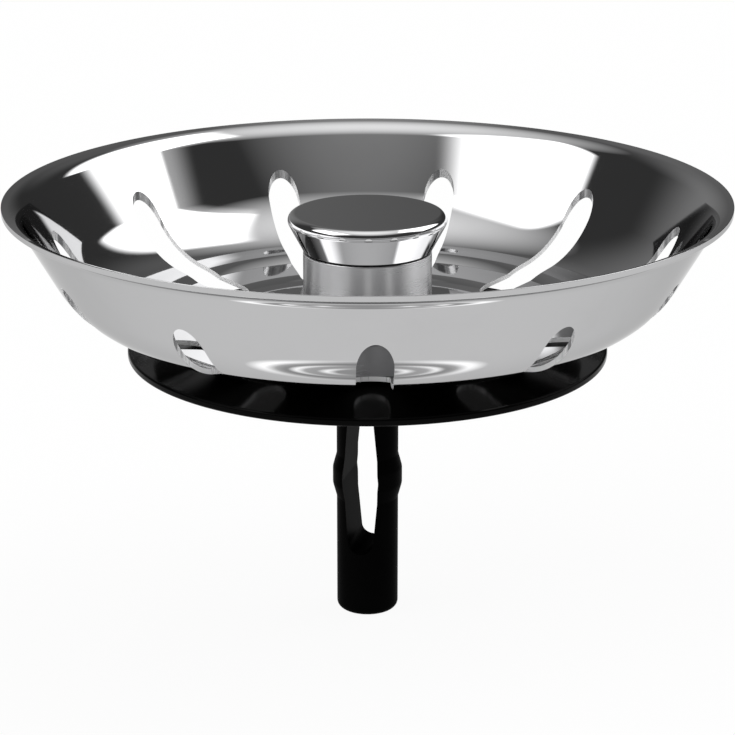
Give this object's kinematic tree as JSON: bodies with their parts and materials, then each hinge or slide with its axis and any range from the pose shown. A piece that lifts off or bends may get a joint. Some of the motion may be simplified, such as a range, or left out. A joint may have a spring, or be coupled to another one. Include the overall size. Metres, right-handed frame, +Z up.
{
  "type": "sink strainer",
  "caption": "Basket strainer plug for a kitchen sink waste: slotted polished bowl with a lifting knob, a rubber sealing disc under it and a sprung stem that grips the waste.",
  "frame": {"origin": "on the strainer's axis, in the plane where the rubber disc's edge lies on the waste", "axes": "+Z up along the axis to the knob, -Y through the middle of one slot"},
  "size_m": [0.084, 0.084, 0.0512],
  "materials": {
    "polished_steel": "mirror-polished stainless sheet",
    "satin_steel": "finely turned stainless tube",
    "polished_chrome": "polished",
    "core_plastic": "moulded",
    "stud_steel": "rolled thread",
    "seal_rubber": "smooth, slightly glossy",
    "stem_plastic": "moulded, satin",
    "insert_brass": "turned"
  },
  "bodies": {
    "basket": {"basket_bowl": "polished_steel", "seal_disc": "seal_rubber", "drain_stem": "stem_plastic", "stem_insert": "insert_brass"},
    "neck": {"neck_sleeve": "satin_steel"},
    "knob": {"knob_cap": "polished_chrome", "knob_core": "core_plastic", "knob_stud": "stud_steel"}
  },
  "joints": [
    {"name": "knob_lift", "type": "slide", "parent": "basket", "child": "neck", "axis": [0, 0, 1], "range_m": [0, 0.0072]},
    {"name": "knob_turn", "type": "hinge", "parent": "neck", "child": "knob", "pos_m": [0, 0, 0.01206], "axis": [0, 0, 1], "range_deg": [0, 3240]}
  ],
  "couplings": [
    {"joint": "knob_lift", "follows": "knob_turn", "m_per_rad": 0.00012732}
  ]
}
